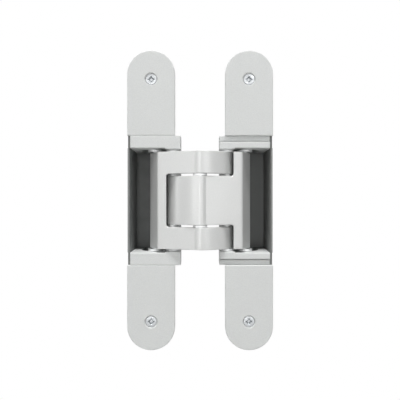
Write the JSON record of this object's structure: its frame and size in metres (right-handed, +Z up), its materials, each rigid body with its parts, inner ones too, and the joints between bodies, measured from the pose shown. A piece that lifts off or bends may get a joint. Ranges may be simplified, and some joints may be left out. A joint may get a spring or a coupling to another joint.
{
  "type": "concealed door hinge",
  "caption": "Concealed hinge for flush doors: two round-ended leaves joined by crossing fork and tee arms that fold into pockets in the leaves.",
  "frame": {"origin": "middle of the frame leaf: on its centre-line, half way up, on the back face of its flange, which is seated on the door frame; the centre of its inner pair of fixing holes", "axes": "+Z up along the hinge axis, +Y into the door frame, +X away from the hinge axis on the side of the frame leaf; the hinge is drawn open flat"},
  "size_m": [0.0974, 0.0498, 0.2],
  "materials": {
    "cast_case": "matt dark grey cast finish",
    "silver_enamel": "satin silver-grey enamel",
    "arm_enamel": "satin silver-grey enamel",
    "bright_steel": "ground, bright",
    "zinc_steel": "zinc plated",
    "bearing_bronze": "plain bearing, dull"
  },
  "bodies": {
    "frame_leaf": {"frame_casing": "cast_case", "frame_cover_upper": "silver_enamel", "frame_cover_lower": "silver_enamel", "frame_cover_screws": "zinc_steel", "frame_clamp_screws": "zinc_steel", "frame_pivot_pin": "bright_steel", "frame_pivot_washers": "bright_steel", "frame_carrier": "silver_enamel", "frame_guide_block_upper": "silver_enamel", "frame_guide_block_lower": "silver_enamel", "frame_adjusting_screws": "zinc_steel", "frame_pivot_spacer": "bright_steel"},
    "fork": {"fork_arm": "arm_enamel", "centre_pin": "bright_steel", "centre_washers": "bright_steel", "fork_slide_pins": "bright_steel", "fork_slide_discs": "bright_steel", "fork_pivot_bushes": "bearing_bronze"},
    "tee": {"tee_arm": "arm_enamel", "tee_slide_pins": "bright_steel", "tee_slide_discs": "bright_steel", "tee_centre_bushes": "bearing_bronze", "tee_pivot_bushes": "bearing_bronze"},
    "door_leaf": {"door_casing": "cast_case", "door_cover_upper": "silver_enamel", "door_cover_lower": "silver_enamel", "door_cover_screws": "zinc_steel", "door_clamp_screws": "zinc_steel", "door_pivot_pin": "bright_steel", "door_pivot_washers": "bright_steel", "door_block_upper": "silver_enamel", "door_block_lower": "silver_enamel", "door_pivot_spacers": "bright_steel"}
  },
  "joints": [
    {"name": "fork_on_frame", "type": "hinge", "parent": "frame_leaf", "child": "fork", "pos_m": [-0.0145, -0.0025, 0], "axis": [0, 0, 1], "range_deg": [0, 118.23]},
    {"name": "tee_on_fork", "type": "hinge", "parent": "fork", "child": "tee", "pos_m": [-0.0327, -0.0142, 0], "axis": [0, 0, 1], "range_deg": [-56.67, 0]},
    {"name": "door_on_tee", "type": "hinge", "parent": "tee", "child": "door_leaf", "pos_m": [-0.0509, -0.0025, 0], "axis": [0, 0, 1], "range_deg": [0, 118.43]}
  ],
  "couplings": [
    {"joint": "tee_on_fork", "follows": "fork_on_frame", "ratio": -0.47758},
    {"joint": "door_on_tee", "follows": "fork_on_frame", "ratio": 1}
  ]
}
